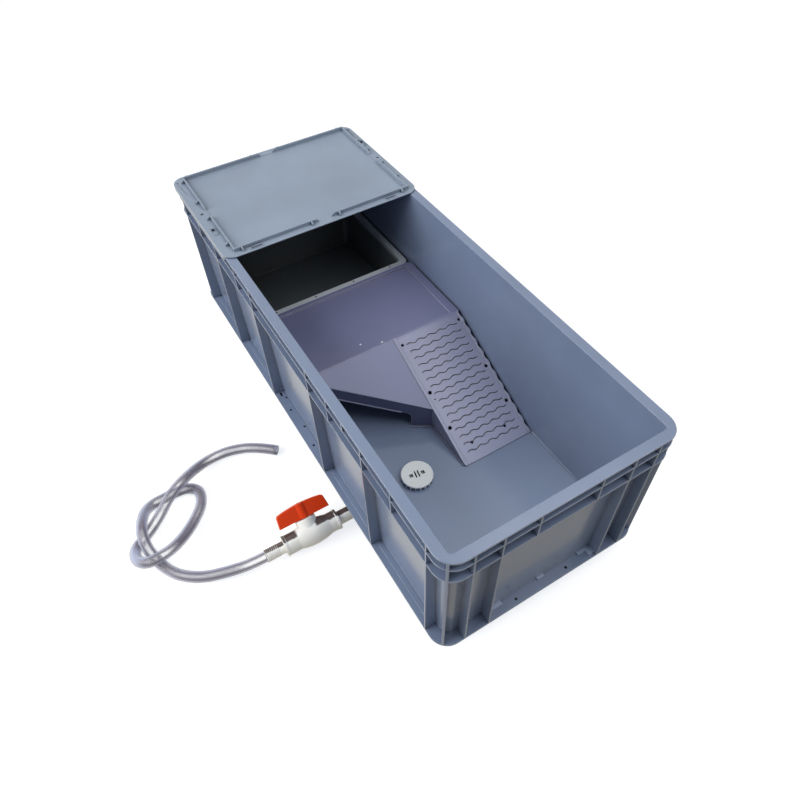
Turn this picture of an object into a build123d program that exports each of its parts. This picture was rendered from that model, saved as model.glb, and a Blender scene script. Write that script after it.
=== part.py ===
from build123d import *
import os
from math import atan2, cos, degrees, hypot, pi, radians, sin, tan

# Plastic turtle tank, in millimetres. Origin on the floor under the middle of the tank,
# +X towards the open deep end, +Y away from the drain valve, +Z up.

# Tank shell
TANK_LENGTH = 1000.0
TANK_WIDTH = 400.0
TANK_HEIGHT = 280.0
STAND = 45.0
WALL = 3.0
FLOOR_LIFT = 6.0
RIM_WIDTH = 17.5
DRAFT = 6.0
TANK_CORNER = 32.0
INNER_CORNER = 6.0
RIM_THICK = 3.0
RIB = 2.6
RIB_2_DROP = 19.0
RIB_3_DROP = 51.0
LEDGE = 3.5
LONG_SIDE_RIBS = (111.0, 285.0, 455.0)
LONG_SIDE_GUSSETS = (180.0, 367.0)
LONG_SIDE_TOP_GUSSET = 231.0
END_RIBS = (110.0, 155.0)
END_GUSSET = 52.0
# Small sockets in the long ledges: place along, place across, length
LEDGE_HOLES = ((-54, 190, 4.5), (48, 190, 4.5), (-2, 184.5, 4), (-88, 184, 4), (-101, 189, 11))
# Steps on the end ledges: outer edge, and the two ends along Y
END_STEPS = ((487, -110, -74), (484.5, -2, 12), (485.5, 82, 98), (495, 97, 110))
FLOOR_COLUMNS = 12
FLOOR_ROWS = 5

# Lid
LID_BACK = -502.6
LID_FRONT = -198.0
LID_THICK = 3.0
LID_GAP = 0.5
LID_SKIRT = 2.1
LID_SKIRT_DROP = 7.0
LID_CORNER = 24.0
FRAME_Y = 182.0
FRAME_SHIFT = 2.5
FRAME_FRONT = -213.5
FRAME_BACK = -488.5
FRAME_RIB = 3.0
FRAME_HEIGHT = 7.0
FRAME_GAP = 26.0
# Gussets outside the frame: places along X on the valve side and the far side, then along Y
GUSSETS_NEAR = (-478, -393, -331, -236.5)
GUSSETS_FAR = (-476, -424, -380, -319, -260)
GUSSETS_FRONT = (-166, -26, 32, 170)
GUSSETS_BACK = (-172, -30, 30, 172)

# Nest box
NEST_FRONT = -198.0
NEST_LENGTH = 279.5
NEST_WIDTH = 350.0
NEST_RIM_Z = 118.0
NEST_RIM = 12.0
NEST_WALL = 2.5

# Basking platform: deck, slanted panel and ramp
DECK_Z = 122.0
DECK_BACK = -194.0
CREASE_X = -9.0
FOOT_X = 246.0
PLATE = 3.0
DECK_PLATE = 4.6
DECK_HALF = 176.0
RAMP_Y0 = 24.0
RAMP_Y1 = 174.0
PANEL_TIP_X = 132.0
PANEL_SKIRT = 26.0
GROOVE_COUNT = 16
GROOVE_FIRST_X = 10.0
GROOVE_STEP_X = 14.27
GROOVE_Y0 = 42.5
GROOVE_Y1 = 159.5
GROOVE_WAVES = 5
GROOVE_SWING = 1.8
GROOVE_WIDTH = 2.4
GROOVE_DEPTH = 1.9
BORDER = 5.0
# Holes through the ramp: place along, place across, radius
RAMP_HOLES = (
    (6, 165.5, 3.2), (7, 35.2, 3.0), (104, 165, 3.6), (103.6, 35.8, 3.8), (175, 164.5, 3.6),
    (173.4, 35.4, 3.8), (213, 134, 3.0), (212, 59.5, 3.0), (118, 37.8, 1.5))

# Drain and valve
DRAIN_X = 214.5
DRAIN_Y = -63.0
PIPE_X = 199.0
PIPE_Z = 25.0
PIPE_R = 12.5
PIPE_BORE_R = 10.2
VALVE_Y = -272.5
VALVE_LEAN = 52.0
VALVE_HALF = 52.0
SOCKET_DEPTH = 22.0
BALL_R = 13.5
CHAMBER_R = 14.6
VALVE_BORE_R = 8.5

# Hose
HOSE_R = 10.0
HOSE_BORE_R = 7.5

BASE = STAND
RIM_Z = STAND + TANK_HEIGHT
FLOOR_Z = STAND + FLOOR_LIFT
INNER_TOP = (TANK_LENGTH - 2 * RIM_WIDTH, TANK_WIDTH - 2 * RIM_WIDTH)
INNER_FLOOR = (INNER_TOP[0] - 2 * DRAFT, INNER_TOP[1] - 2 * DRAFT)
LOW = (Align.CENTER, Align.CENTER, Align.MIN)


def block(x0, x1, y0, y1, z0, z1):
    """A plain block between two corners, given in either order."""
    body = Box(abs(x1 - x0), abs(y1 - y0), abs(z1 - z0))
    return Pos((x0 + x1) / 2, (y0 + y1) / 2, (z0 + z1) / 2) * body


def round_slab(x0, x1, y0, y1, z0, z1, radius):
    """A slab whose four upright corners are rounded."""
    face = RectangleRounded(x1 - x0, y1 - y0, radius)
    return Pos((x0 + x1) / 2, (y0 + y1) / 2, z0) * extrude(face, z1 - z0)


def tapered(low, high, z0, z1, radius, x=0.0):
    """A rounded block that widens from its low size to its high size."""
    bottom = Pos(x, 0, z0) * RectangleRounded(low[0], low[1], radius)
    top = Pos(x, 0, z1) * RectangleRounded(high[0], high[1], radius)
    return loft([bottom, top])


def disc(radius, z0, z1, x=0.0, y=0.0):
    """An upright cylinder between two heights."""
    return Pos(x, y, z0) * Cylinder(radius, z1 - z0, align=LOW)


def ring(outer, inner, z0, z1, x=0.0, y=0.0):
    """An upright ring between two heights."""
    return disc(outer, z0, z1, x, y) - disc(inner, z0 - 1, z1 + 1, x, y)


def rod_y(radius, y0, y1, x=0.0, z=0.0):
    """A cylinder that lies along Y."""
    body = Rot(90, 0, 0) * Cylinder(radius, y1 - y0)
    return Pos(x, (y0 + y1) / 2, z) * body


def total(parts):
    """All the given shapes fused to one."""
    first = parts[0]
    return first.fuse(*parts[1:]) if len(parts) > 1 else first


def grown(size, extra):
    """A length and width, both larger by twice the extra."""
    return (size[0] + 2 * extra, size[1] + 2 * extra)


# Tank shell
def tank_ribs():
    """Upright ribs, as plates right across the tank, before the inside is cut away."""
    z3 = RIM_Z - RIB_3_DROP
    z2 = RIM_Z - RIB_2_DROP
    z_top = RIM_Z - RIM_THICK / 2
    half_l, half_w = TANK_LENGTH / 2, TANK_WIDTH / 2
    long_side = [(x, BASE + LEDGE / 2) for x in LONG_SIDE_RIBS]
    long_side += [(x, z3) for x in LONG_SIDE_GUSSETS]
    long_side += [(LONG_SIDE_TOP_GUSSET, z2)]
    ends = [(y, BASE + LEDGE / 2) for y in END_RIBS]
    ends += [(END_GUSSET, z3)]
    plates = []
    for side in (-1, 1):
        for x, z0 in long_side:
            plates.append(block(side * x - RIB / 2, side * x + RIB / 2, -half_w, half_w, z0, z_top))
        for y, z0 in ends:
            plates.append(block(-half_l, half_l, side * y - RIB / 2, side * y + RIB / 2, z0, z_top))
    z_mid = (BASE + LEDGE / 2 + z_top) / 2
    for sx in (-1, 1):
        for sy in (-1, 1):
            arc_x = sx * (half_l - TANK_CORNER)
            arc_y = sy * (half_w - TANK_CORNER)
            corner = Box(2 * TANK_CORNER, RIB + 1.6, z_top - BASE - LEDGE / 2)
            plates.append(Pos(arc_x, arc_y, z_mid) * Rot(0, 0, 45 * sx * sy) * corner)
    envelope = round_slab(-half_l, half_l, -half_w, half_w, BASE, RIM_Z, TANK_CORNER)
    return total(plates) & envelope


def ledge_steps():
    """Raised steps on the base ledge, as they stand between the ribs and at the ends."""
    steps = []
    low, high = BASE + LEDGE - 0.5, BASE + LEDGE + 1.2
    for sy in (-1, 1):
        near, far = sorted((sy * 176.0, sy * 189.5))
        for x0, x1 in ((-277, -119), (119, 277), (293, 447), (-447, -293)):
            steps.append(block(x0, x1, near, far, low, high))
    for turn in (0, 180):
        for x1, y0, y1 in END_STEPS:
            steps.append(Rot(0, 0, turn) * block(470, x1, y0, y1, low, high + 0.8))
    return steps


def ledge_holes():
    """Square sockets and slots in the top of the base ledge, with a thin floor left."""
    cuts = []
    depth = (BASE + 0.8, BASE + LEDGE + 3)
    for sy in (-1, 1):
        for x, y, length in LEDGE_HOLES:
            cuts.append(block(x - length / 2, x + length / 2, sy * y - 2, sy * y + 2, *depth))
    for sx in (-1, 1):
        for y in (-51, 51):
            cuts.append(block(sx * 491 - 2.3, sx * 491 + 2.3, y - 2.3, y + 2.3, *depth))
    return cuts


def underside_pockets():
    """Shallow pockets that leave a grid of ribs under the floor."""
    pockets = []
    pitch_x = (INNER_FLOOR[0] - 5) / FLOOR_COLUMNS
    pitch_y = (INNER_FLOOR[1] - 5) / FLOOR_ROWS
    for i in range(FLOOR_COLUMNS):
        for j in range(FLOOR_ROWS):
            x = (i - (FLOOR_COLUMNS - 1) / 2) * pitch_x
            y = (j - (FLOOR_ROWS - 1) / 2) * pitch_y
            half_x, half_y = pitch_x / 2 - 1.5, pitch_y / 2 - 1.5
            pockets.append(block(x - half_x, x + half_x, y - half_y, y + half_y, BASE - 1, BASE + WALL))
    pockets.append(disc(36, BASE - 1, BASE + WALL, DRAIN_X, DRAIN_Y))
    return pockets


def make_tank_shell():
    half_l, half_w = TANK_LENGTH / 2, TANK_WIDTH / 2
    wall = tapered(grown(INNER_FLOOR, WALL), grown(INNER_TOP, WALL), BASE, RIM_Z, 16)
    ledge = round_slab(-half_l, half_l, -half_w, half_w, BASE, BASE + LEDGE, TANK_CORNER)
    bands = [ledge]
    for drop, thick in ((0, RIM_THICK), (RIB_2_DROP, RIB), (RIB_3_DROP, RIB)):
        top = RIM_Z - drop
        bands.append(round_slab(-half_l, half_l, -half_w, half_w, top - thick, top, TANK_CORNER))
    body = total([wall] + bands + [tank_ribs()] + ledge_steps())
    cavity = tapered(INNER_FLOOR, INNER_TOP, FLOOR_Z, RIM_Z + 0.5, INNER_CORNER)
    cavity = fillet(cavity.edges().group_by(Axis.Z)[0], 1.5)
    body = body - cavity
    body = body - underside_pockets() - ledge_holes()
    body = body - disc(21, BASE - 1, FLOOR_Z + 1, DRAIN_X, DRAIN_Y)
    top_edges = body.edges().filter_by(lambda e: abs(e.center().Z - RIM_Z) < 0.01)
    return fillet(top_edges, 1.1)


# Lid
def frame_side(length, along_x, place):
    """One side of the raised frame: two ribs with rounded ends and a gap between them."""
    z0 = RIM_Z + LID_THICK - 0.5
    z1 = RIM_Z + LID_THICK + FRAME_HEIGHT
    ribs = []
    for side in (-1, 1):
        near, bend, far = side * FRAME_GAP / 2, side * (FRAME_GAP / 2 + 9), side * length / 2
        rib_end = ThreePointArc((near, z0), (near + side * 2.6, z1 - 2.4), (bend, z1))
        rest = [Line((bend, z1), (far, z1)), Line((far, z1), (far, z0)), Line((far, z0), (near, z0))]
        ribs.append(extrude(Plane.XZ * make_face([rib_end] + rest), FRAME_RIB / 2, both=True))
    pair = total(ribs)
    turned = pair if along_x else Rot(0, 0, 90) * pair
    return Pos(*place, 0) * turned


def frame_gusset(x, y, heading):
    """A small round-backed gusset outside the frame, heading outwards."""
    z0 = RIM_Z + LID_THICK - 0.5
    reach, height = 8.5, FRAME_HEIGHT + 0.3
    back = ThreePointArc((reach, z0), (reach * 0.8, z0 + height * 0.75), (0, z0 + height))
    face = make_face([Line((0, z0), (reach, z0)), back, Line((0, z0 + height), (0, z0))])
    plate = extrude(Plane.XZ * face, 1.3, both=True)
    return Pos(x, y, 0) * Rot(0, 0, heading) * plate


def lid_frame():
    """The raised frame with its gussets."""
    mid_x = (FRAME_FRONT + FRAME_BACK) / 2
    length = FRAME_FRONT - FRAME_BACK + FRAME_RIB
    parts = []
    for side, places in ((-1, GUSSETS_NEAR), (1, GUSSETS_FAR)):
        y = FRAME_SHIFT + side * FRAME_Y
        parts.append(frame_side(length, True, (mid_x, y)))
        parts += [frame_gusset(x, y, 90 * side) for x in places]
    for x, places, heading in ((FRAME_FRONT, GUSSETS_FRONT, 0), (FRAME_BACK, GUSSETS_BACK, 180)):
        parts.append(frame_side(2 * FRAME_Y + FRAME_RIB, False, (x, FRAME_SHIFT)))
        parts += [frame_gusset(x, y, heading) for y in places]
    return parts


def lid_slots(top):
    """Latch slots with raised rims: the rims, and the cuts inside them."""
    rims, cuts = [], []
    for x, y, size_x, size_y in (
            (-205.3, -140, 4.6, 22), (-205.3, 141, 4.6, 21), (-289, -190, 21, 7), (-413, 194, 21, 7)):
        rims.append(Pos(x, y, top + 0.4) * Box(size_x + 2.6, size_y + 2.6, 1.8))
        cuts.append(Pos(x, y, top + 1) * Box(size_x, size_y, 2.8))
        hole_x, hole_y = (7, size_y) if size_x > size_y else (size_x, size_y - 3)
        shift = -6.5 if size_x > size_y else 0
        cuts.append(Pos(x + shift, y, top) * Box(hole_x, hole_y, 12))
    return rims, cuts


def make_lid():
    top = RIM_Z + LID_THICK
    wide = TANK_WIDTH / 2 + LID_GAP + LID_SKIRT
    body = round_slab(LID_BACK, LID_FRONT, -wide, wide, RIM_Z, top, LID_CORNER)
    skirt = round_slab(LID_BACK, LID_FRONT, -wide, wide, RIM_Z - LID_SKIRT_DROP, RIM_Z + 1, LID_CORNER)
    inside = TANK_WIDTH / 2 + LID_GAP
    back = -TANK_LENGTH / 2 - LID_GAP
    hollow = round_slab(back, 0, -inside, inside, RIM_Z - 20, RIM_Z + 1.5, TANK_CORNER)
    hollow = hollow + block(LID_FRONT - 30, 0, -inside, inside, RIM_Z - 20, RIM_Z)
    rims, cuts = lid_slots(top)
    body = total([body + (skirt - hollow)] + lid_frame() + rims)
    low_y, high_y = FRAME_SHIFT - FRAME_Y + 2, FRAME_SHIFT + FRAME_Y - 2
    body = body - round_slab(FRAME_BACK + 2, FRAME_FRONT - 2, low_y, high_y, top - 1, top + 20, 8)
    # Locating rib that drops just inside the tank's mouth, stiffeners and two gate marks
    seat = round_slab(-480.5, -219, -180.5, 180.5, RIM_Z - 8, RIM_Z + 0.5, 12)
    seat = seat - round_slab(-478, -221.5, -178, 178, RIM_Z - 9, RIM_Z + 0.5, 10)
    extras = [seat, disc(1.6, top - 1.5, top - 0.5, -342, -64), disc(1.6, top - 1.5, top - 0.5, -339, 64)]
    for x in (-411.5, -342, -272.5):
        extras.append(block(x - 1, x + 1, -179, 179, RIM_Z - 5, RIM_Z + 0.5))
    for y in (-90, 0, 90):
        extras.append(block(-479, -220, y - 1, y + 1, RIM_Z - 5, RIM_Z + 0.5))
    body = total([body] + extras)
    # Thin front lip, two finger holes and a tapered groove at each rear corner
    cuts.append(block(LID_FRONT - 9, LID_FRONT + 1, -inside, inside, RIM_Z - 1, RIM_Z + 1.3))
    cuts.append(disc(3.4, RIM_Z + 0.8, top + 1, -355, -189.5))
    cuts.append(disc(3.0, RIM_Z + 0.8, top + 1, -346, 193))
    for side in (-1, 1):
        corners = [(-486, side * 196), (-486, side * 192), (-429, side * 190.8)]
        groove = make_face(Polyline(*corners, close=True).edges())
        cuts.append(extrude(Pos(0, 0, top + 4.8) * groove, 6, both=True))
    return body - cuts


# Nest box
def make_nest_box():
    x = NEST_FRONT - NEST_LENGTH / 2
    foot = FLOOR_Z
    rim = BASE + NEST_RIM_Z
    size_top = (NEST_LENGTH - 2 * NEST_RIM, NEST_WIDTH - 2 * NEST_RIM)
    size_low = (size_top[0] - 14, size_top[1] - 14)
    wall = tapered(grown(size_low, NEST_WALL), grown(size_top, NEST_WALL), foot, rim, 14, x)
    half_w = NEST_WIDTH / 2
    back = NEST_FRONT - NEST_LENGTH
    flange = round_slab(back, NEST_FRONT, -half_w, half_w, rim - 9, rim, 13)
    under = round_slab(back + 2, NEST_FRONT - 2, -half_w + 2, half_w - 2, rim - 10, rim - 2.5, 11)
    body = wall + (flange - under)
    body = body + (under & wall)
    cavity = tapered(size_low, size_top, foot + 8, rim + 0.5, 12, x)
    body = body - cavity
    lower = tapered(grown(size_low, -6), grown(size_low, -6), foot - 1, foot + 5, 8, x)
    body = body - lower
    holes = []
    for hole_y in (-132, -44, 44, 132):
        holes.append(disc(2.2, rim - 5, rim + 1, NEST_FRONT - 6.5, hole_y))
        holes.append(disc(2.2, rim - 5, rim + 1, back + 6.5, hole_y))
    body = body - holes
    edges = body.edges().filter_by(lambda e: abs(e.center().Z - rim) < 0.01 and e.length > 15)
    return fillet(edges, 0.9)


# Basking platform
SLOPE = atan2(DECK_Z - FLOOR_LIFT, FOOT_X - CREASE_X)


def slope_plane():
    """The face of the ramp: its x runs down the ramp, its y across it."""
    origin = (CREASE_X, 0, BASE + DECK_Z)
    return Plane(origin=origin, x_dir=(cos(SLOPE), 0, -sin(SLOPE)), z_dir=(sin(SLOPE), 0, cos(SLOPE)))


def down(x):
    """Distance down the ramp's face for a place x along the tank."""
    return (x - CREASE_X) / cos(SLOPE)


def wave(y0, y1, count, swing):
    """Arcs that swing to one side and the other along Y, joined end to end."""
    step = (y1 - y0) / (2 * count)
    edges = []
    for i in range(2 * count):
        low = y0 + i * step
        bulge = swing if i % 2 else -swing
        edges.append(ThreePointArc((0, low), (bulge, low + step / 2), (0, low + step)))
    return edges


def groove_face():
    """One wavy groove as a flat band: two waves side by side, closed by short ends."""
    upper = wave(GROOVE_Y0, GROOVE_Y1, GROOVE_WAVES, GROOVE_SWING)
    lower = [Pos(GROOVE_WIDTH, 0, 0) * edge for edge in upper]
    ends = [Line((0, y), (GROOVE_WIDTH, y)) for y in (GROOVE_Y0, GROOVE_Y1)]
    return make_face(upper + lower + ends)


def ramp_outline(length):
    """The ramp's plate from above its face: straight on the left, scalloped on the right."""
    scallops = 11
    step = length / (2 * scallops)
    edges = []
    for i in range(2 * scallops):
        low = i * step
        bulge = 1.6 if i % 2 else -1.6
        edges.append(ThreePointArc((low, RAMP_Y1), (low + step / 2, RAMP_Y1 + bulge), (low + step, RAMP_Y1)))
    edges.append(Line((0, RAMP_Y1), (0, RAMP_Y0)))
    edges.append(Line((0, RAMP_Y0), (length, RAMP_Y0)))
    edges.append(Line((length, RAMP_Y0), (length, RAMP_Y1)))
    return make_face(edges)


def foot_corners():
    """What is cut off to round the two corners at the ramp's foot."""
    round_r = 8.0
    cuts = []
    for y, side in ((RAMP_Y0, 1), (RAMP_Y1 + 1.5, -1)):
        square = block(FOOT_X - round_r, FOOT_X + 1, y - side, y + side * round_r, BASE, BASE + 60)
        cuts.append(square - disc(round_r, BASE - 1, BASE + 61, FOOT_X - round_r, y + side * round_r))
    return cuts


def upright_wall(points, thick, z0, z1):
    """An upright wall along a line of points, its thickness to the left of the way."""
    walls = []
    for (xa, ya), (xb, yb) in zip(points, points[1:]):
        length = hypot(xb - xa, yb - ya)
        turn = degrees(atan2(yb - ya, xb - xa))
        piece = block(0, length, 0, thick, z0, z1)
        walls.append(Pos(xa, ya, 0) * Rot(0, 0, turn) * piece)
    return total(walls)


def below_face(x, depth):
    """Height of the line that runs a depth below the ramp's face, at a place along the tank."""
    return BASE + DECK_Z - (x - CREASE_X) * tan(SLOPE) - depth / cos(SLOPE)


def below_slope(depth):
    """Everything that lies deeper than a depth below the deck and the ramp's face."""
    top = BASE + DECK_Z - depth
    toe = BASE + FLOOR_LIFT - depth
    outline = [(-230, BASE), (-230, top), (CREASE_X, top), (FOOT_X, toe), (FOOT_X, BASE)]
    face = make_face(Polyline(*outline, close=True).edges())
    return extrude(Plane.XZ * face, 190, both=True)


def make_basking_platform():
    deck_top = BASE + DECK_Z
    foot = FLOOR_Z + 0.2
    deck = round_slab(DECK_BACK, 60, -DECK_HALF, DECK_HALF, deck_top - DECK_PLATE, deck_top, 12)
    deck = deck & block(DECK_BACK - 1, CREASE_X, -200, 200, 0, 400)
    face = slope_plane()
    length = down(FOOT_X - 3)
    ramp = extrude(face * ramp_outline(length), -PLATE)
    tip = down(PANEL_TIP_X)
    corners = [(-1, -DECK_HALF), (tip, RAMP_Y0), (tip, RAMP_Y0 + 4), (-1, RAMP_Y0 + 4)]
    panel_face = make_face(Polyline(*corners, close=True).edges())
    panel = extrude(face * panel_face, -PLATE)
    # Raised borders of the ramp: plain on its left, following the scallops on its right
    border = extrude(face * Pos(length / 2, RAMP_Y0 + BORDER / 2, 0) * Rectangle(length, BORDER), 1.5)
    right_strip = extrude(face * ramp_outline(length), 0.8)
    inner_part = Pos(length / 2, RAMP_Y1 - 3.4 - 100, 0) * Rectangle(length + 20, 200)
    right_strip = right_strip - extrude(face * inner_part, 5, both=True)
    border = border + right_strip
    joint = block(CREASE_X - 6, CREASE_X, -DECK_HALF, DECK_HALF, deck_top - DECK_PLATE, deck_top - 0.9)
    # Skirts: the panel's front skirt, the ramp's two side walls, the back wall and the legs
    front_line = [(PANEL_TIP_X - 1, RAMP_Y0), (CREASE_X, -DECK_HALF)]
    front_low = upright_wall(front_line, -2.6, foot, deck_top)
    upper = [(x, below_face(x, PANEL_SKIRT)) for x in (-60, 108)]
    opening = make_face(Polyline((-60, 0), *upper, (108, 0), close=True).edges())
    opening = fillet(opening.vertices().group_by(Axis.X)[-1].sort_by(Axis.Y)[-1:], 11)
    front_skirt = front_low - (extrude(Plane.XZ * opening, 300, both=True) & block(-60, 108, -200, 16, 0, 400))
    # Bead along the skirt's lower edge
    bead_band = extrude(face * Pos(-200, 0, -PANEL_SKIRT + 1.8) * Rectangle(1500, 600), -1.8)
    bead = upright_wall(front_line, 1.5, foot, deck_top) & bead_band & block(-9, 98, -200, 16, 0, 400)
    top = deck_top - 0.5
    left = -DECK_HALF + 0.8
    left_wall = block(PANEL_TIP_X - 30, FOOT_X - 5, RAMP_Y0, RAMP_Y0 + 2.6, foot, deck_top)
    right_wall = block(DECK_BACK + 10, FOOT_X - 5, RAMP_Y1 - 3.2, RAMP_Y1 - 0.6, foot, deck_top)
    back_wall = block(DECK_BACK + 0.8, DECK_BACK + 3.4, -DECK_HALF + 12, DECK_HALF - 12, foot, top)
    left_skirt = block(DECK_BACK + 12, CREASE_X, left, left + 2.6, deck_top - 24, top)
    legs = [block(-72, -44, left, left + 2.6, foot, top)]
    legs.append(block(-72, -69.4, left, left + 21.2, foot, top))
    legs.append(block(DECK_BACK + 0.8, DECK_BACK + 28, left + 7.2, left + 9.8, foot, top))
    walls = [front_skirt, left_wall, right_wall, back_wall, left_skirt] + legs
    inside = total(walls) & below_slope(1.0)
    # Outward lip along the foot of the panel's corner and the ramp's left wall
    lip = [upright_wall([(PANEL_TIP_X - 1, RAMP_Y0 + 1), (107.5, -10.8)], 5.2, foot, foot + 2)]
    lip.append(block(PANEL_TIP_X - 6, FOOT_X - 7, RAMP_Y0 - 3.5, RAMP_Y0 + 2, foot, foot + 2))
    body = total([deck, joint, ramp, panel, border, inside, bead] + lip)
    body = body & block(-300, FOOT_X, -DECK_HALF, DECK_HALF, foot, deck_top + 30)
    # Deck recess inside a raised border, deepest at the back and shallow at the crease
    recess = make_face(Polyline((-184, 0), (-14, 0), (-14, -0.8), (-184, -3.0), close=True).edges())
    side_on = Plane(origin=(0, 0, deck_top), x_dir=(1, 0, 0), z_dir=(0, -1, 0))
    recess = extrude(side_on * recess, 158, both=True)
    recess = recess & block(-300, 100, -160, 158, 0, 500)
    grooves = []
    flat = groove_face()
    for i in range(GROOVE_COUNT):
        place = down(GROOVE_FIRST_X + i * GROOVE_STEP_X) - GROOVE_WIDTH / 2
        grooves.append(extrude(face * Pos(place, 0, 0) * flat, -GROOVE_DEPTH))
    holes = []
    for x, y, r in RAMP_HOLES:
        holes.append(face * Pos(down(x), y, 0) * Cylinder(r, 12))
    return body - [recess] - grooves - holes - foot_corners()


# Drain under the floor
def make_drain_parts():
    seat = BASE + WALL
    gasket = 1.5
    parts = {}
    parts["drain_gasket_lower"] = ring(31, 21.5, seat - gasket, seat, DRAIN_X, DRAIN_Y)
    parts["drain_gasket_upper"] = ring(27, 21.5, FLOOR_Z, FLOOR_Z + gasket, DRAIN_X, DRAIN_Y)
    flange_top = FLOOR_Z + gasket + 3
    tube_low = 36.0
    top = ring(27, 17, FLOOR_Z + gasket, flange_top, DRAIN_X, DRAIN_Y)
    top = top + ring(20.4, 17, tube_low, flange_top, DRAIN_X, DRAIN_Y)
    cross = block(DRAIN_X - 18, DRAIN_X + 18, DRAIN_Y - 1.2, DRAIN_Y + 1.2, 40, 44)
    cross = cross + block(DRAIN_X - 1.2, DRAIN_X + 1.2, DRAIN_Y - 18, DRAIN_Y + 18, 40, 44)
    parts["drain_ring"] = top + (cross & disc(18, 39, 45, DRAIN_X, DRAIN_Y))
    cup_top = seat - gasket
    cup = disc(31, cup_top - 4, cup_top, DRAIN_X, DRAIN_Y) + disc(26, 4, cup_top, DRAIN_X, DRAIN_Y)
    cup = cup + rod_y(16, DRAIN_Y - 52, DRAIN_Y + 6, PIPE_X, PIPE_Z)
    cup = cup - disc(20.5, 30, cup_top + 1, DRAIN_X, DRAIN_Y) - disc(22.5, 7.5, 34, DRAIN_X, DRAIN_Y)
    cup = cup - rod_y(PIPE_BORE_R, DRAIN_Y - 60, DRAIN_Y, PIPE_X, PIPE_Z)
    cup = cup - rod_y(PIPE_R, DRAIN_Y - 60, DRAIN_Y - 30, PIPE_X, PIPE_Z)
    parts["drain_cup"] = cup
    pipe_end = VALVE_Y + VALVE_HALF - SOCKET_DEPTH
    pipe = rod_y(PIPE_R, pipe_end, DRAIN_Y - 30, PIPE_X, PIPE_Z)
    parts["drain_pipe"] = pipe - rod_y(PIPE_BORE_R, pipe_end - 1, DRAIN_Y - 29, PIPE_X, PIPE_Z)
    return parts


def make_strainer_cap():
    """Toothed cap with a row of slots, plugged into the drain ring."""
    z = FLOOR_Z + 4.5
    under, top = z + 3.8, z + 6.4
    cap = disc(29.6, under, top)
    crown = fillet(cap.edges().sort_by(Axis.Z)[-1:], 1.8)
    spigot = ring(16.6, 14.4, z - 9, under + 0.5)
    rest = ring(24.5, 22.5, z, under + 0.5)
    teeth = []
    count = 20
    for i in range(count):
        tooth = block(27.4, 29.5, -1.1, 1.1, FLOOR_Z + 1, under + 1)
        teeth.append(Rot(0, 0, (i + 0.5) * 360 / count) * tooth)
    # Two open slots between two square pockets
    pockets = [Pos(0, y, under - 1) * Box(8.6, 8.6, 4) for y in (-11.2, 11.2)]
    body = total([crown, spigot, rest] + teeth + pockets)
    slots = [Pos(0, y, 60) * Box(14, 2.6, 60) for y in (-2.9, 2.9)]
    slots += [Pos(0, y, top) * Box(7, 7, 9.6) for y in (-11.2, 11.2)]
    windows = [Pos(0, 0, z - 5) * Rot(0, 0, 45 + 90 * i) * block(10, 20, -4, 4, -5, 3) for i in range(4)]
    return Pos(DRAIN_X, DRAIN_Y, 0) * Rot(0, 0, -10) * (body - slots - windows)


# Ball valve, made with its axis along Y and its stem along Z, then leaned back
def valve_place(shape):
    return Pos(PIPE_X, VALVE_Y, PIPE_Z) * Rot(0, -VALVE_LEAN, 0) * shape


def spun(points, arcs=()):
    """A solid of revolution about Y from an outline of (radius, y) points."""
    edges = []
    for i, start in enumerate(points):
        end = points[(i + 1) % len(points)]
        middle = dict(arcs).get(i)
        edges.append(ThreePointArc(start, middle, end) if middle else Line(start, end))
    return revolve(make_face(edges), Axis.Y)


def make_valve_body():
    half = VALVE_HALF
    outline = [(0, -half), (18.8, -half), (18.8, -half + 4), (18.1, -half + 5), (17.9, -24), (17.9, 22),
               (18.1, half - 5), (18.8, half - 4), (18.8, half), (0, half)]
    shell = spun(outline)
    bulge = spun([(0, -27), (17.7, -27), (17.7, 35), (0, 35)], [(1, (22.4, 4))])
    neck = disc(18.5, 0, 28.6)
    neck = fillet(neck.edges().sort_by(Axis.Z)[-1:], 1.5)
    body = shell + bulge + neck
    body = body - rod_y(VALVE_BORE_R, -half, half)
    body = body - rod_y(CHAMBER_R, -half - 1, BALL_R + 0.6)
    body = body - rod_y(PIPE_R, half - SOCKET_DEPTH, half + 1)
    body = body - disc(6, 5, 40) - disc(8.3, 5, 18.5)
    return body


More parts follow.
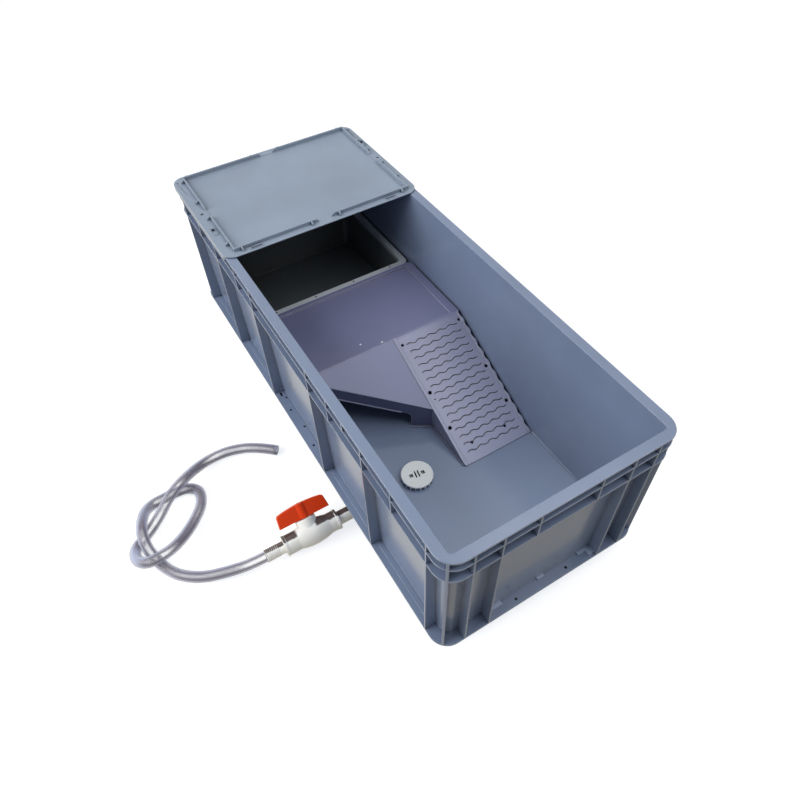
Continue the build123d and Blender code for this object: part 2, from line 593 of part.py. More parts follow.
def make_valve_parts():
    half = VALVE_HALF
    hollow_ball = Sphere(BALL_R + 0.3)
    ball = Sphere(BALL_R) - rod_y(VALVE_BORE_R, -20, 20) - block(-2, 2, -6, 6, 10, 20)
    seats = {}
    seat = rod_y(CHAMBER_R - 0.1, 9.6, BALL_R + 0.6) - rod_y(VALVE_BORE_R, 0, 20) - hollow_ball
    seats["valve_seat_tank_side"] = seat
    seat = rod_y(CHAMBER_R - 0.1, -BALL_R - 0.6, -9.6) - rod_y(VALVE_BORE_R, -20, 0) - hollow_ball
    seats["valve_seat_hose_side"] = seat
    plug = rod_y(CHAMBER_R - 0.1, -half, -BALL_R - 0.6) - rod_y(VALVE_BORE_R, -half - 1, 0)
    plug = plug - rod_y(PIPE_R, -half - 1, -half + SOCKET_DEPTH)
    stem = disc(5.9, 14.4, 51) + disc(8, 14.6, 18.2) + block(-1.85, 1.85, -5.4, 5.4, 10.4, 15)
    stem = stem - (disc(10, 37, 60) - block(-4, 4, -4, 4, 36, 61))
    seals = []
    for z in (19.6, 24.0):
        stem = stem - (ring(7, 4.4, z, z + 2.4))
        seals.append(ring(5.92, 4.4, z, z + 2.4))
    stem = stem - disc(1.4, 42, 52)
    parts = dict(seats)
    parts["valve_body"] = make_valve_body()
    parts["valve_ball"] = ball
    parts["valve_end_plug"] = plug
    parts["valve_stem"] = stem
    parts["stem_o_rings"] = Compound(seals)
    parts["valve_handle"] = make_handle()
    screw = disc(3.4, 51, 53.4) + disc(1.4, 42, 51.5)
    parts["handle_screw"] = screw - block(-2.6, 2.6, -0.5, 0.5, 52.5, 54)
    parts["hose_tail"] = make_hose_tail()
    return {name: valve_place(shape) for name, shape in parts.items()}


def arch_face(half, low, shoulder, crown, round_r, flare=3.0):
    """A side view with a flat foot, ends that flare towards it, round shoulders and an arched top."""
    face = make_face([
        Line((-half - flare, low), (half + flare, low)),
        Line((half + flare, low), (half, shoulder)),
        ThreePointArc((half, shoulder), (0, crown), (-half, shoulder)),
        Line((-half, shoulder), (-half - flare, low))])
    return fillet(face.vertices().sort_by(Axis.Y)[-2:], round_r)


def make_handle():
    """Winged handle: an arched shell with a round hub, open underneath."""
    low, high, end_high, half = 29.6, 57.0, 52.5, 44.5
    side = arch_face(half, low, end_high, high, 5)
    wings = extrude(Plane.YZ * side, 7.5, both=True)
    hub = disc(10.6, low, high + 2) & extrude(Plane.YZ * side, 20, both=True)
    outer = wings + hub
    outer = fillet(outer.edges().filter_by(lambda e: e.center().Z > 51 and e.length > 6), 1.6)
    inner_side = arch_face(half - 2.6, low - 1, end_high - 2.4, high - 2.8, 3)
    hollow = extrude(Plane.YZ * inner_side, 5, both=True)
    hollow = hollow - disc(9.5, 0, 80)
    body = outer - hollow
    body = body - block(-4.1, 4.1, -4.1, 4.1, 28, 51) - disc(6.3, 28, 37) - disc(3.6, 51, 60)
    return body


def make_hose_tail():
    """Ridged tail in the valve's plug, its bore wide at the tip for the hose."""
    half = VALVE_HALF
    tip = -half - 35.0
    inner = -half + SOCKET_DEPTH
    outline = [(0, inner), (PIPE_R, inner), (PIPE_R, -half), (11.0, -half - 0.5), (11.0, -half - 12)]
    for i in range(6):
        y = -half - 12 - i * 3.4
        outline += [(11.7, y - 0.5), (10.9, y - 3.4)]
    outline += [(11.7, tip + 2), (11.7, tip + 0.8), (11.2, tip), (0, tip)]
    body = spun(outline)
    body = body - rod_y(6.5, tip - 1, inner + 1)
    return body - rod_y(HOSE_R + 0.2, tip - 1, tip + 14)


# Risers that lift the base clear of the drain
def make_risers():
    parts = {}
    caps, pads = [], []
    width, height, half_length, wall = 60.0, 42.0, 150.0, 3.0
    for name, x in (("riser_rear", -340.0), ("riser_middle", 0.0), ("riser_front", 340.0)):
        z0 = BASE - height
        tube = block(x - width / 2, x + width / 2, -half_length, half_length, z0, BASE)
        inner = width / 2 - wall
        bore = block(x - inner, x + inner, -half_length - 1, half_length + 1, z0 + wall, BASE - wall)
        parts[name] = tube - bore
        for side in (-1, 1):
            outer = side * half_length
            caps.append(block(x - inner, x + inner, outer, outer - side * 5, z0 + wall, BASE - wall))
        pads.append(block(x - 26, x + 26, -145, 145, 0, z0))
    parts["riser_end_caps"] = Compound(caps)
    parts["riser_pads"] = Compound(pads)
    return parts


# Hose route, from the shoulder in the tail's bore to the bare end
TAIL_TIP = VALVE_Y - VALVE_HALF - 35.0
HOSE_ROUTE = [
    (199, TAIL_TIP + 14, 25), (199, -382, 24), (187, -424, 17), (170, -466, 10), (148, -497, 10),
    (122, -515, 10), (93, -525, 10), (75, -530, 20), (57, -530, 34), (31, -524, 35), (0, -513, 23),
    (-18, -496, 11), (-19, -472, 10), (-21, -450, 10), (-17, -426, 10), (1, -410, 12), (31, -416, 13),
    (59, -440, 15), (86, -468, 22), (105, -493, 33), (111, -517, 37), (109, -540, 35), (87, -554, 24),
    (57, -551, 12), (45, -533, 10), (28, -510, 10), (16, -489, 18), (9, -472, 32), (-4, -453, 38),
    (-21, -426, 36), (-45, -397, 20), (-58, -364, 11), (-57, -327, 10), (-38, -281, 10), (-7, -248, 10)]


def corner_radii(points):
    """The largest tangent arc at each inner point: 0.45 of the shorter run."""
    radii = []
    for a, b, c in zip(points, points[1:], points[2:]):
        before, after = Vector(*b) - Vector(*a), Vector(*c) - Vector(*b)
        half_turn = radians(before.get_angle(after)) / 2
        radii.append(0.45 * min(before.length, after.length) / tan(half_turn))
    return radii


def gap_to_itself(path, step=4.0, apart=60.0):
    """The least clear gap between two stretches of the hose that are some way apart along it."""
    count = int(path.length / step)
    points = [path.position_at(i / count) for i in range(count + 1)]
    skip = int(apart / step)
    gaps = [(a - b).length for i, a in enumerate(points) for b in points[i + skip:]]
    return min(gaps) - 2 * HOSE_R


def make_hose():
    radii = corner_radii(HOSE_ROUTE)
    path = FilletPolyline(*HOSE_ROUTE, radius=radii)
    start = Plane(origin=HOSE_ROUTE[0], z_dir=(0, -1, 0))
    outer = sweep(start * Circle(HOSE_R), path=path)
    bore = sweep(start * Circle(HOSE_BORE_R), path=path)
    hose = outer - bore
    area = pi * (HOSE_R ** 2 - HOSE_BORE_R ** 2)
    print("hose radii", [round(r, 1) for r in radii])
    print("hose length", round(path.length, 1), "volume", round(hose.volume))
    print("section x length", round(area * path.length), "gap to itself", round(gap_to_itself(path), 1))
    return hose


def main():
    os.makedirs("parts", exist_ok=True)
    nodes = {
        "tank_shell": make_tank_shell(),
        "lid": make_lid(),
        "nest_box": make_nest_box(),
        "basking_platform": make_basking_platform(),
        "strainer_cap": make_strainer_cap(),
        "drain_hose": make_hose(),
    }
    nodes.update(make_drain_parts())
    nodes.update(make_valve_parts())
    nodes.update(make_risers())
    for name, shape in nodes.items():
        export_step(shape, f"parts/{name}.step")


main()
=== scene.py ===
import bmesh
import bpy
from mathutils import Matrix, Vector


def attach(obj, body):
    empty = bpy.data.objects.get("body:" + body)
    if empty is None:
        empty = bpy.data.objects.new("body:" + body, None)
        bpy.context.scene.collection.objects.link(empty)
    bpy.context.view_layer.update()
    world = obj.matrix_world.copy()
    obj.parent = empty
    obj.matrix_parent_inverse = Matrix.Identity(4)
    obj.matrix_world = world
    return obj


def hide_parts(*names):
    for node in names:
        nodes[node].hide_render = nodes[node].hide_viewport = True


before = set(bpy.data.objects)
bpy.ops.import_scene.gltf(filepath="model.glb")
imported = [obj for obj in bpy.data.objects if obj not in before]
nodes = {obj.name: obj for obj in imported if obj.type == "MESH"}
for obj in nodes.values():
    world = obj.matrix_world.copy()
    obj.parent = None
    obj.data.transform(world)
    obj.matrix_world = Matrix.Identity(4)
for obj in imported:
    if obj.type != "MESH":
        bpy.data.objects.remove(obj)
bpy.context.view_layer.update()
scene = bpy.context.scene

MM = 0.001

# Camera: where the photograph was taken from, how it was held, and its lens and sensor in mm
CAMERA_PLACE = Vector((0.7760, -0.4095, 1.0649))
CAMERA_RIGHT = Vector((0.51731, 0.85546, -0.02461))
CAMERA_UP = Vector((-0.65003, 0.41146, 0.63892))
CAMERA_BACK = Vector((0.55668, -0.31451, 0.76891))
CAMERA_LENS = 29.76
CAMERA_SENSOR = 36

# Hose: outer radius, wall, length, and the route from the shoulder in the tail to the bare end
HOSE_R = 10 * MM
HOSE_WALL = 2.5 * MM
HOSE_ROUTE_MM = [
    (199, -345.5, 25), (199, -382, 24), (187, -424, 17), (170, -466, 10), (148, -497, 10),
    (122, -515, 10), (93, -525, 10), (75, -530, 20), (57, -530, 34), (31, -524, 35),
    (0, -513, 23), (-18, -496, 11), (-19, -472, 10), (-21, -450, 10), (-17, -426, 10),
    (1, -410, 12), (31, -416, 13), (59, -440, 15), (86, -468, 22), (105, -493, 33),
    (111, -517, 37), (109, -540, 35), (87, -554, 24), (57, -551, 12), (45, -533, 10),
    (28, -510, 10), (16, -489, 18), (9, -472, 32), (-4, -453, 38), (-21, -426, 36),
    (-45, -397, 20), (-58, -364, 11), (-57, -327, 10), (-38, -281, 10), (-7, -248, 10)]
# The hose's cut end faces the tank's side, furthest along Y
HOSE_END_Y = HOSE_ROUTE_MM[-1][1] * MM

# Tank: its underside, the top of the ledge round it, and its floor inside
BASE_Z = 45 * MM
LEDGE_TOP = BASE_Z + 3.5 * MM
TANK_FLOOR_Z = BASE_Z + 6 * MM
# Sockets in the ledge: their height, how far out their strips lie, and how far along these go
SOCKET_Z = (BASE_Z + 0.5 * MM, LEDGE_TOP - 0.4 * MM)
SIDE_STRIP_Y = (180 * MM, 197 * MM)
SIDE_STRIP_END = 460 * MM
END_STRIP_X = (480 * MM, 497 * MM)
END_STRIP_END = 160 * MM
# Floor inside: its height, where it turns up into the sides, where its painted shade stops and
# where it is painted lighter, as if lit, on the way to the open end
FLOOR_Z = (TANK_FLOOR_Z - 0.5 * MM, TANK_FLOOR_Z + 1.5 * MM)
FLOOR_TURN_Y = (172 * MM, 176 * MM)
FLOOR_SHADED_X = (-50 * MM, 200 * MM)
FLOOR_LIT_X = (200 * MM, 400 * MM)
# Painted highlight line round the floor: its height, and half the length and width that it
# keeps within
LINE_Z = (TANK_FLOOR_Z + 1 * MM, TANK_FLOOR_Z + 3 * MM)
LINE_HALF_LENGTH = 478 * MM
LINE_HALF_WIDTH = 186 * MM

# Strainer cap: its middle
STRAINER_XY = (214.5 * MM, -63.0 * MM)

# Nest box: the height of its rim
NEST_RIM_Z = 163 * MM

# Side of the pipe and the valve that gets a painted dark reflection: upwards, and away from the
# tank's open end
REFLECTION_SIDE = (-0.42, 0.0, 0.907)
# The stretch of the valve under its handle that the painted reflection leaves out
UNREFLECTED_Y = (-296 * MM, -264 * MM)

# Basking platform: the crease where its slope starts, the ramp's inner edge, the stretches over
# which the deck and the ramp are painted lighter as if lit, and two pale specks near the crease
CREASE_X = -9 * MM
RAMP_Y0 = 24 * MM
DECK_LIT_Y = (-120 * MM, 170 * MM)
RAMP_LIT_X = (20 * MM, 220 * MM)
PALE_SPECKS = ((-32.8 * MM, -34.4 * MM), (-16.1 * MM, 3.6 * MM))

# Studio floor: half its width, its glow where it is looked at and where a piece mirrors it, and
# the stretch over which the mirrored glow gets faint
STUDIO_HALF = 9.0
STUDIO_SEEN = (0.70, 0.73, 0.78, 1.0)
STUDIO_MIRRORED = (0.46, 0.42, 0.34, 1.0)
STUDIO_FAINT_X = (420 * MM, 470 * MM)

# Sky: its colour and strength as light on the object
SKY_COLOUR = (0.94, 0.97, 1.0, 1.0)
SKY_STRENGTH = 0.18
WHITE = (1.0, 1.0, 1.0, 1.0)
BLACK = (0.0, 0.0, 0.0, 1.0)

# Where the lamps point
LAMP_AIM = (0, 0, 0.2)


def srgb(red, green, blue):
    """A screen colour, 0 to 255, as the linear colour that a shader takes."""
    parts = []
    for level in (red, green, blue):
        share = level / 255
        parts.append(share / 12.92 if share <= 0.04045 else ((share + 0.055) / 1.055) ** 2.4)
    return (*parts, 1.0)


class Amount:
    """A socket of a node tree, with arithmetic for the ones that hold a number."""

    def __init__(self, made, socket):
        self.made = made
        self.socket = socket

    def _math(self, operation, first, second=0.0):
        return self.made.node("ShaderNodeMath", {"operation": operation}, {0: first, 1: second})

    def __add__(self, other):
        return self._math("ADD", self, other)

    def __radd__(self, other):
        return self._math("ADD", other, self)

    def __sub__(self, other):
        return self._math("SUBTRACT", self, other)

    def __rsub__(self, other):
        return self._math("SUBTRACT", other, self)

    def __mul__(self, other):
        return self._math("MULTIPLY", self, other)

    def __pow__(self, other):
        return self._math("POWER", self, other)

    def __abs__(self):
        return self._math("ABSOLUTE", self)

    def clamped(self):
        """The same number, held between 0 and 1."""
        return self._math("MAXIMUM", self._math("MINIMUM", self, 1.0), 0.0)

    def between(self, low, high):
        """0 at low and under, 1 at high and over, and straight between."""
        return ((self - low) * (1 / (high - low))).clamped()

    def within(self, low, high, soft=0.0003):
        """1 from low to high, and 0 outside that."""
        return self.between(low - soft, low) * (1 - self.between(high, high + soft))


class Nodes:
    """A node tree under construction."""

    def __init__(self, tree):
        self.tree = tree

    def node(self, kind, settings=None, inputs=None, out=0):
        """Any node: first its settings, then its sockets' values or links. Gives one output."""
        made = self.tree.nodes.new(kind)
        for key, value in (settings or {}).items():
            setattr(made, key, value)
        for key, value in (inputs or {}).items():
            self.join(made.inputs[key], value)
        return Amount(self, made.outputs[out])

    def join(self, socket, value):
        """Gives a socket a link or a fixed value."""
        if isinstance(value, Amount):
            self.tree.links.new(value.socket, socket)
        else:
            socket.default_value = value

    def light_path(self, ray):
        """1 for a ray of this kind, and 0 for any other."""
        return self.node("ShaderNodeLightPath", out=ray)

    def mix(self, share, first, second):
        """A colour between two others."""
        sockets = {0: share, 6: first, 7: second}
        return self.node("ShaderNodeMix", {"data_type": "RGBA"}, sockets, out=2)


class Finish(Nodes):
    """A material under construction, with one surface shader."""

    def __init__(self, name, **fixed):
        self.material = bpy.data.materials.new(name)
        self.material.use_nodes = True
        super().__init__(self.material.node_tree)
        self.shader = self.tree.nodes["Principled BSDF"]
        self.place = self.node("ShaderNodeTexCoord", out="Object")
        for socket, value in fixed.items():
            self.set(socket.replace("_", " "), value)

    def set(self, socket, value):
        self.join(self.shader.inputs[socket], value)

    def noise(self, size, detail=3.0, rough=0.5, stretch=None):
        """Cloudy noise from 0 to 1 whose blotches are about this size, in metres."""
        where = self.place
        if stretch:
            where = self.node("ShaderNodeMapping", None, {"Vector": where, "Scale": stretch})
        sockets = {"Vector": where, "Scale": 1 / size, "Detail": detail, "Roughness": rough}
        return self.node("ShaderNodeTexNoise", None, sockets)

    def axis(self, name):
        """One coordinate of the place on the piece, in metres."""
        return self.node("ShaderNodeSeparateXYZ", None, {0: self.place}, out=name)

    def spot(self, x, y, radius):
        """1 in a round spot seen from above, and 0 outside it."""
        across = (self.axis("X") - x) ** 2.0 + (self.axis("Y") - y) ** 2.0
        return 1 - across.between((radius * 0.6) ** 2, radius ** 2)

    def facing(self, side):
        """How far the surface faces one side: 1 straight at it, 0 square to it."""
        normal = self.node("ShaderNodeNewGeometry", out="Normal")
        product = {"operation": "DOT_PRODUCT"}
        return self.node("ShaderNodeVectorMath", product, {0: normal, 1: side}, out="Value")

    def sharp_edges(self, radius):
        """Near 1 on a sharp edge within a radius, and 0 on a flat face. Also the rounded normal."""
        rounded = self.node("ShaderNodeBevel", {"samples": 4}, {"Radius": radius})
        return (1 - self.facing(rounded)).between(0.02, 0.25), rounded

    def crevice(self, depth):
        """1 deep in a groove or corner narrower than a depth, and 0 in the open."""
        sockets = {"Distance": depth}
        bare = self.node("ShaderNodeAmbientOcclusion", {"samples": 6}, sockets, out="AO")
        return (1 - bare).clamped()

    def bump(self, height, distance, normal=None):
        sockets = {"Height": height, "Distance": distance, "Strength": 1.0}
        if normal:
            sockets["Normal"] = normal
        self.set("Normal", self.node("ShaderNodeBump", None, sockets))


def moulded(name, colour, edge, shade_colour, roughness, grain=0.04, cloud=0.04, groove_shade=0.5,
            edge_radius=1.2, edge_highlight=0.7, shade=0.35, gloss=0.5, extra=None):
    """Moulded plastic: faint cloud, fine grain, scuffs, painted edge highlights and painted shade.

    Colours are screen colours. The grain's height and the edge radius are in millimetres. cloud
    is how uneven the colour is, groove_shade how strongly narrow grooves get painted shade,
    edge_highlight how strongly sharp edges get a painted highlight, shade how strongly wide corners
    get painted shade, and gloss how much the surface mirrors. extra is a function that changes the
    plain colour.
    """
    made = Finish(name, Specular_IOR_Level=gloss)
    blotch = made.noise(120 * MM, detail=3.0)
    speck = made.noise(1.4 * MM, detail=2.0)
    scuff = made.noise(9 * MM, detail=5.0, rough=0.6, stretch=(1.0, 2.6, 2.6)).between(0.66, 0.8)
    darker = srgb(*(level * (1 - cloud) for level in colour))
    lighter = srgb(*(min(255, level * (1 + cloud)) for level in colour))
    base = made.mix(blotch.between(0.3, 0.7) * 0.8 + speck * 0.2, darker, lighter)
    if extra:
        base = extra(made, base)
    base = made.mix(scuff * 0.12, base, srgb(*edge))
    # Painted highlight: sharp edges are lightened towards the edge colour.
    edge_highlight_share, rounded = made.sharp_edges(edge_radius * MM)
    base = made.mix((edge_highlight_share * (edge_highlight - 0.25 + speck * 0.5)).clamped(), base, srgb(*edge))
    # Painted shade: wide corners and narrow grooves are darkened towards the shade colour.
    base = made.mix(made.crevice(45 * MM).between(0.45, 1.0) * shade, base, srgb(*shade_colour))
    base = made.mix(made.crevice(8 * MM).between(0.3, 0.9) * groove_shade, base, srgb(*shade_colour))
    made.set("Base Color", base)
    uneven = (speck - 0.5) * 0.08 + scuff * 0.14 + (blotch - 0.5) * 0.06
    made.set("Roughness", (roughness + uneven).clamped())
    made.bump(speck * 0.7 + made.noise(0.45 * MM, detail=1.0) * 0.3, grain * MM, rounded)
    return made.material


def crate_marks(made, base):
    """Painted shade in the ledge's sockets and on the floor's far part, painted light on the floor
    towards its open end, and a painted highlight line round the floor.
    """
    length, height = made.axis("X"), made.axis("Z")
    along, across = abs(length), abs(made.axis("Y"))
    bottom = height.within(*FLOOR_Z) * (1 - across.between(*FLOOR_TURN_Y))
    # Painted shade on the floor towards the closed end, and painted light towards the open end.
    floor_shade = bottom * (1 - length.between(*FLOOR_SHADED_X))
    base = made.mix(floor_shade * 0.4, base, srgb(88, 100, 124))
    base = made.mix(bottom * length.between(*FLOOR_LIT_X), base, srgb(166, 182, 208))
    # Painted highlight: a pale line round the floor where it meets the sides.
    line = height.within(*LINE_Z) * (1 - across.between(LINE_HALF_WIDTH, LINE_HALF_WIDTH + MM))
    line = line * (1 - along.between(LINE_HALF_LENGTH, LINE_HALF_LENGTH + MM))
    base = made.mix(line * 0.6, base, srgb(206, 216, 234))
    sides = across.within(*SIDE_STRIP_Y) * (1 - along.between(SIDE_STRIP_END, SIDE_STRIP_END + MM))
    ends = along.within(*END_STRIP_X) * (1 - across.between(END_STRIP_END, END_STRIP_END + MM))
    # Painted shade: the sockets in the ledge are painted nearly black.
    sockets = height.within(*SOCKET_Z) * (sides + ends).clamped()
    return made.mix(sockets, base, srgb(16, 20, 30))


def platform_marks(made, base):
    """Painted light on the slope, the ramp and the deck, painted shade in the grooves and on the
    steep sides, and two pale specks.
    """
    slope = made.axis("X").between(CREASE_X - 5 * MM, CREASE_X + 5 * MM)
    ramp = slope * made.axis("Y").between(RAMP_Y0 - MM, RAMP_Y0)
    # Painted light: the deck towards +Y, the slope and the ramp are painted lighter.
    ramp_lit_share = made.axis("X").between(*RAMP_LIT_X)
    ramp_lit_colour = made.mix(ramp_lit_share, srgb(142, 146, 173), srgb(170, 175, 202))
    deck_lit = made.axis("Y").between(*DECK_LIT_Y) * (1 - slope)
    base = made.mix(deck_lit * 0.7, base, srgb(126, 130, 164))
    base = made.mix(slope * 0.7, base, srgb(118, 125, 160))
    base = made.mix(ramp, base, ramp_lit_colour)
    # Painted shade: the slope's grooves and the steep sides are painted darker.
    slope_groove_shade = made.crevice(5 * MM).between(0.12, 0.5) * slope
    base = made.mix(slope_groove_shade * 0.75, base, srgb(30, 32, 50))
    steep_shade = 1 - made.facing((0, 0, 1)).between(0.35, 0.7)
    base = made.mix(steep_shade * 0.5, base, srgb(56, 58, 82))
    for x, y in PALE_SPECKS:
        base = made.mix(made.spot(x, y, 2.2 * MM), base, srgb(236, 238, 244))
    return base


def slot_shade(made, base):
    """Painted shade in the slots of the strainer cap, and not in the gaps between its teeth."""
    middle = made.spot(*STRAINER_XY, 24 * MM)
    return made.mix(middle * made.crevice(6 * MM).between(0.25, 0.6), base, srgb(18, 28, 24))


def nest_shade(made, base):
    """Painted shade inside the box, from just under its rim down, darkest deep inside."""
    under_rim = 1 - made.axis("Z").between(NEST_RIM_Z - 14 * MM, NEST_RIM_Z - 3 * MM)
    deep_shade = made.crevice(220 * MM).between(0.42, 0.8)
    base = made.mix(under_rim * 0.75, base, srgb(70, 77, 79))
    return made.mix(under_rim * deep_shade * 0.9, base, srgb(14, 16, 18))


def dark_reflection(made, base):
    """A painted dark brown reflection along the top of the pipe, the valve and the tail."""
    run = made.facing(REFLECTION_SIDE) + (made.noise(7 * MM) - 0.5) * 0.1
    unreflected = made.axis("Y").within(*UNREFLECTED_Y, soft=4 * MM)
    streak = made.noise(3 * MM, detail=2.0, stretch=(1.0, 0.3, 1.0))
    reflection_colour = made.mix(streak.between(0.35, 0.7), srgb(46, 26, 24), srgb(82, 54, 50))
    return made.mix(run.between(0.74, 0.82) * (1 - unreflected) * 0.95, base, reflection_colour)


def coat(material, *names):
    """Gives CAD pieces a material in every slot that they have."""
    for name in names:
        piece = nodes[name]
        piece.data.materials.clear()
        piece.data.materials.append(material)


# Camera
lens = bpy.data.cameras.new("camera")
lens.lens = CAMERA_LENS
lens.sensor_width = CAMERA_SENSOR
lens.clip_start, lens.clip_end = 0.01, 50
camera = bpy.data.objects.new("camera", lens)
turn = Matrix((CAMERA_RIGHT, CAMERA_UP, CAMERA_BACK)).transposed().to_4x4()
camera.matrix_world = Matrix.Translation(CAMERA_PLACE) @ turn
scene.collection.objects.link(camera)
scene.camera = camera


# Hose
def hose_curve(radius):
    """The hose's smooth line, as a tube of this radius, or bare when that is 0."""
    line = bpy.data.curves.new("hose_line", "CURVE")
    line.dimensions = "3D"
    line.resolution_u = 10
    line.bevel_depth = radius
    line.bevel_resolution = 8
    spline = line.splines.new("NURBS")
    spline.points.add(len(HOSE_ROUTE_MM) - 1)
    for point, place in zip(spline.points, HOSE_ROUTE_MM):
        point.co = (*(coordinate * MM for coordinate in place), 1.0)
    spline.order_u = 3
    spline.use_endpoint_u = True
    return bpy.data.objects.new("hose_line", line)


def hose_path():
    """The points that the hose follows, read from its own smooth line."""
    bare = bpy.data.meshes.new_from_object(hose_curve(0.0))
    return [vertex.co.copy() for vertex in bare.vertices]


def make_hose():
    """The hose as an open tube with a wall, in the place of its CAD piece."""
    tube = bpy.data.meshes.new_from_object(hose_curve(HOSE_R))
    tube.name = "clear_hose"
    hose = bpy.data.objects.new("clear_hose", tube)
    scene.collection.objects.link(hose)
    shell = bmesh.new()
    shell.from_mesh(tube)
    bmesh.ops.recalc_face_normals(shell, faces=shell.faces)
    for face in shell.faces:
        face.smooth = True
    shell.to_mesh(tube)
    shell.free()
    wall = hose.modifiers.new("wall", "SOLIDIFY")
    wall.thickness = HOSE_WALL
    wall.offset = -1
    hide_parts("drain_hose")
    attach(hose, "tank")
    hose_path()
    return hose


hose = make_hose()


def clear_vinyl():
    """Clear soft hose: denser to its edges, with hazy stretches, a painted pale highlight near
    its edges, and painted light on its cut end.
    """
    made = Finish("clear_vinyl", Roughness=0.11, IOR=1.5)
    edge = made.node("ShaderNodeLayerWeight", None, {"Blend": 0.5}, out="Facing")
    dense = edge.between(0.03, 0.16)
    haze = made.noise(80 * MM, detail=1.0).between(0.44, 0.58)
    cut = made.axis("Y").between(HOSE_END_Y - 2.4 * MM, HOSE_END_Y - 1.6 * MM)
    tint = made.mix(dense, srgb(222, 222, 230), srgb(134, 127, 142))
    # Painted highlight: a pale tint towards the tube's edges.
    tint = made.mix(edge.between(0.24, 0.5), tint, srgb(196, 203, 228))
    # Painted light: the cut end is painted pale.
    made.set("Base Color", made.mix(cut, tint, srgb(206, 216, 246)))
    made.set("Alpha", (dense * 0.42 + haze * 0.24 + 0.05 - cut * 0.12).clamped())
    return made.material


hose.data.materials.append(clear_vinyl())


def black_rubber():
    made = Finish("black_rubber")
    speck = made.noise(2.0 * MM, detail=4.0)
    made.set("Base Color", made.mix(speck, srgb(26, 26, 28), srgb(48, 48, 51)))
    made.set("Roughness", speck * 0.2 + 0.65)
    made.bump(speck, 0.15 * MM)
    return made.material


def plain_steel():
    made = Finish("plain_steel", Metallic=1.0)
    scratch = made.noise(1.5 * MM, detail=4.0, stretch=(6.0, 1.0, 1.0))
    made.set("Base Color", made.mix(scratch, srgb(150, 150, 152), srgb(205, 205, 205)))
    made.set("Roughness", scratch * 0.25 + 0.25)
    return made.material


# Finishes of the carried-over pieces: name, colour, colour of scuffs and painted edge highlights,
# colour of painted shade, roughness, and what is special
coat(moulded("crate_plastic", (125, 139, 165), (184, 198, 222), (24, 31, 48), 0.16,
             groove_shade=0.85, edge_highlight=0.6, extra=crate_marks),
     "tank_shell")
coat(moulded("lid_plastic", (142, 155, 172), (196, 207, 221), (34, 40, 52), 0.36,
             groove_shade=0.85, gloss=0.3),
     "lid")
coat(moulded("nest_box_plastic", (186, 192, 198), (214, 220, 224), (30, 34, 38), 0.32,
             groove_shade=0.8, extra=nest_shade),
     "nest_box")
coat(moulded("platform_plastic", (107, 111, 142), (222, 226, 244), (20, 21, 36), 0.36,
             grain=0.1, groove_shade=0.9, edge_radius=2.0, edge_highlight=0.85, shade=0.65, extra=platform_marks),
     "basking_platform")
coat(moulded("strainer_plastic", (244, 252, 247), (252, 254, 252), (168, 190, 178), 0.34,
             shade=0.0, extra=slot_shade),
     "strainer_cap")
coat(moulded("fitting_plastic", (214, 214, 210), (236, 236, 232), (110, 105, 98), 0.35),
     "drain_cup", "drain_ring")
coat(moulded("valve_plastic", (254, 253, 247), (254, 254, 251), (104, 84, 76), 0.18,
             grain=0.02, cloud=0.01, groove_shade=0.7, shade=0.1, extra=dark_reflection),
     "drain_pipe", "valve_body", "valve_end_plug", "valve_ball", "valve_stem", "hose_tail",
     "valve_seat_tank_side", "valve_seat_hose_side")
coat(moulded("handle_plastic", (228, 62, 6), (238, 116, 76), (120, 20, 6), 0.3,
             grain=0.02, edge_highlight=0.4, shade=0.2, gloss=0.25),
     "valve_handle")
coat(moulded("bearer_plastic", (92, 100, 114), (130, 138, 150), (38, 42, 50), 0.5),
     "riser_rear", "riser_middle", "riser_front", "riser_end_caps")
coat(black_rubber(), "drain_gasket_lower", "drain_gasket_upper", "stem_o_rings", "riser_pads")
coat(plain_steel(), "handle_screw")


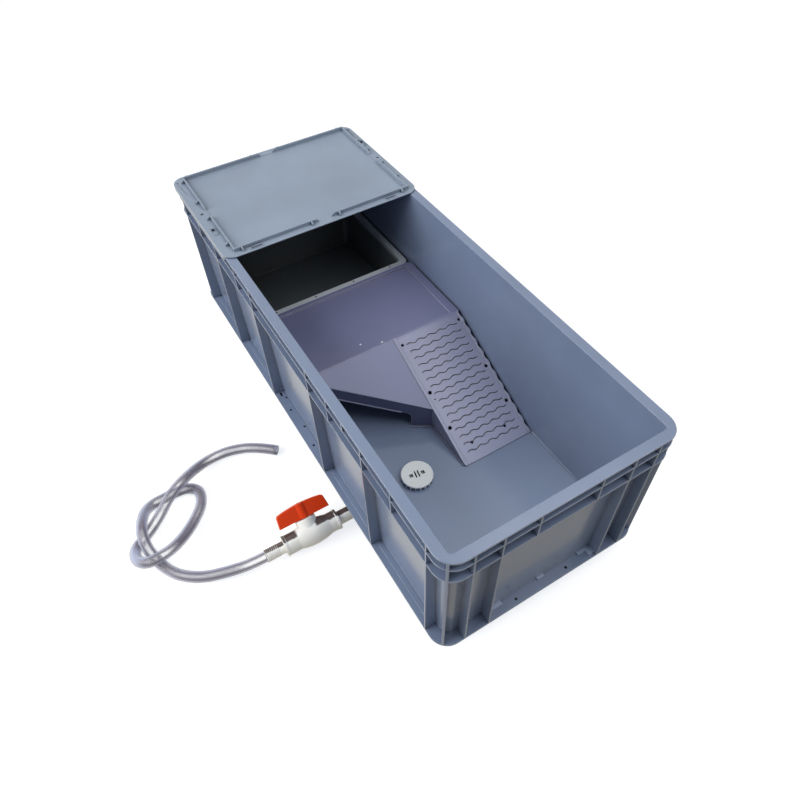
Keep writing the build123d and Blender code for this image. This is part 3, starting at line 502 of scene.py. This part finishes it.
# Studio: floor, lamps and sky
def floor_paint():
    """White where it is looked at, and a warm grey where a piece mirrors it."""
    made = Finish("floor_paint", Roughness=0.85, Emission_Strength=1.0)
    speck = made.noise(4 * MM)
    made.set("Base Color", made.mix(speck * 0.1, srgb(196, 189, 176), srgb(190, 183, 170)))
    mirrored = (made.light_path("Is Glossy Ray") + made.light_path("Is Transmission Ray")).clamped()
    near = 1 - made.axis("X").between(*STUDIO_FAINT_X) * 0.8
    glow = made.mix(mirrored * near, BLACK, STUDIO_MIRRORED)
    made.set("Emission Color", made.mix(made.light_path("Is Camera Ray"), glow, STUDIO_SEEN))
    return made.material


def make_floor():
    mesh = bpy.data.meshes.new("floor")
    sheet = bmesh.new()
    bmesh.ops.create_grid(sheet, x_segments=1, y_segments=1, size=STUDIO_HALF)
    sheet.to_mesh(mesh)
    sheet.free()
    floor = bpy.data.objects.new("floor", mesh)
    scene.collection.objects.link(floor)
    mesh.materials.append(floor_paint())


def soft_box(name, place, size, power):
    """A square lamp that faces the object."""
    lamp = bpy.data.lights.new(name, "AREA")
    lamp.size = size
    lamp.energy = power
    box = bpy.data.objects.new(name, lamp)
    box.location = place
    box.rotation_euler = (Vector(LAMP_AIM) - Vector(place)).to_track_quat("-Z", "Y").to_euler()
    scene.collection.objects.link(box)


def make_sky():
    """An even sky: white where it is looked at or mirrored, and softer as light."""
    world = bpy.data.worlds.new("studio")
    world.use_nodes = True
    scene.world = world
    made = Nodes(world.node_tree)
    made.tree.nodes.remove(made.tree.nodes["Background"])
    mirrored = made.light_path("Is Glossy Ray") + made.light_path("Is Transmission Ray")
    plain = (made.light_path("Is Camera Ray") + mirrored).clamped()
    light = made.node("ShaderNodeBackground", None, {"Color": SKY_COLOUR, "Strength": SKY_STRENGTH})
    backdrop = made.node("ShaderNodeBackground", None, {"Color": WHITE, "Strength": 1.0})
    sky = made.node("ShaderNodeMixShader", None, {0: plain, 1: light, 2: backdrop})
    made.join(made.tree.nodes["World Output"].inputs["Surface"], sky)


make_floor()
make_sky()
soft_box("key_light", place=(-0.5, -2.4, 1.85), size=2.8, power=86)
soft_box("top_light", place=(0.85, 1.1, 2.7), size=2.6, power=46)

scene.view_settings.view_transform = "Standard"
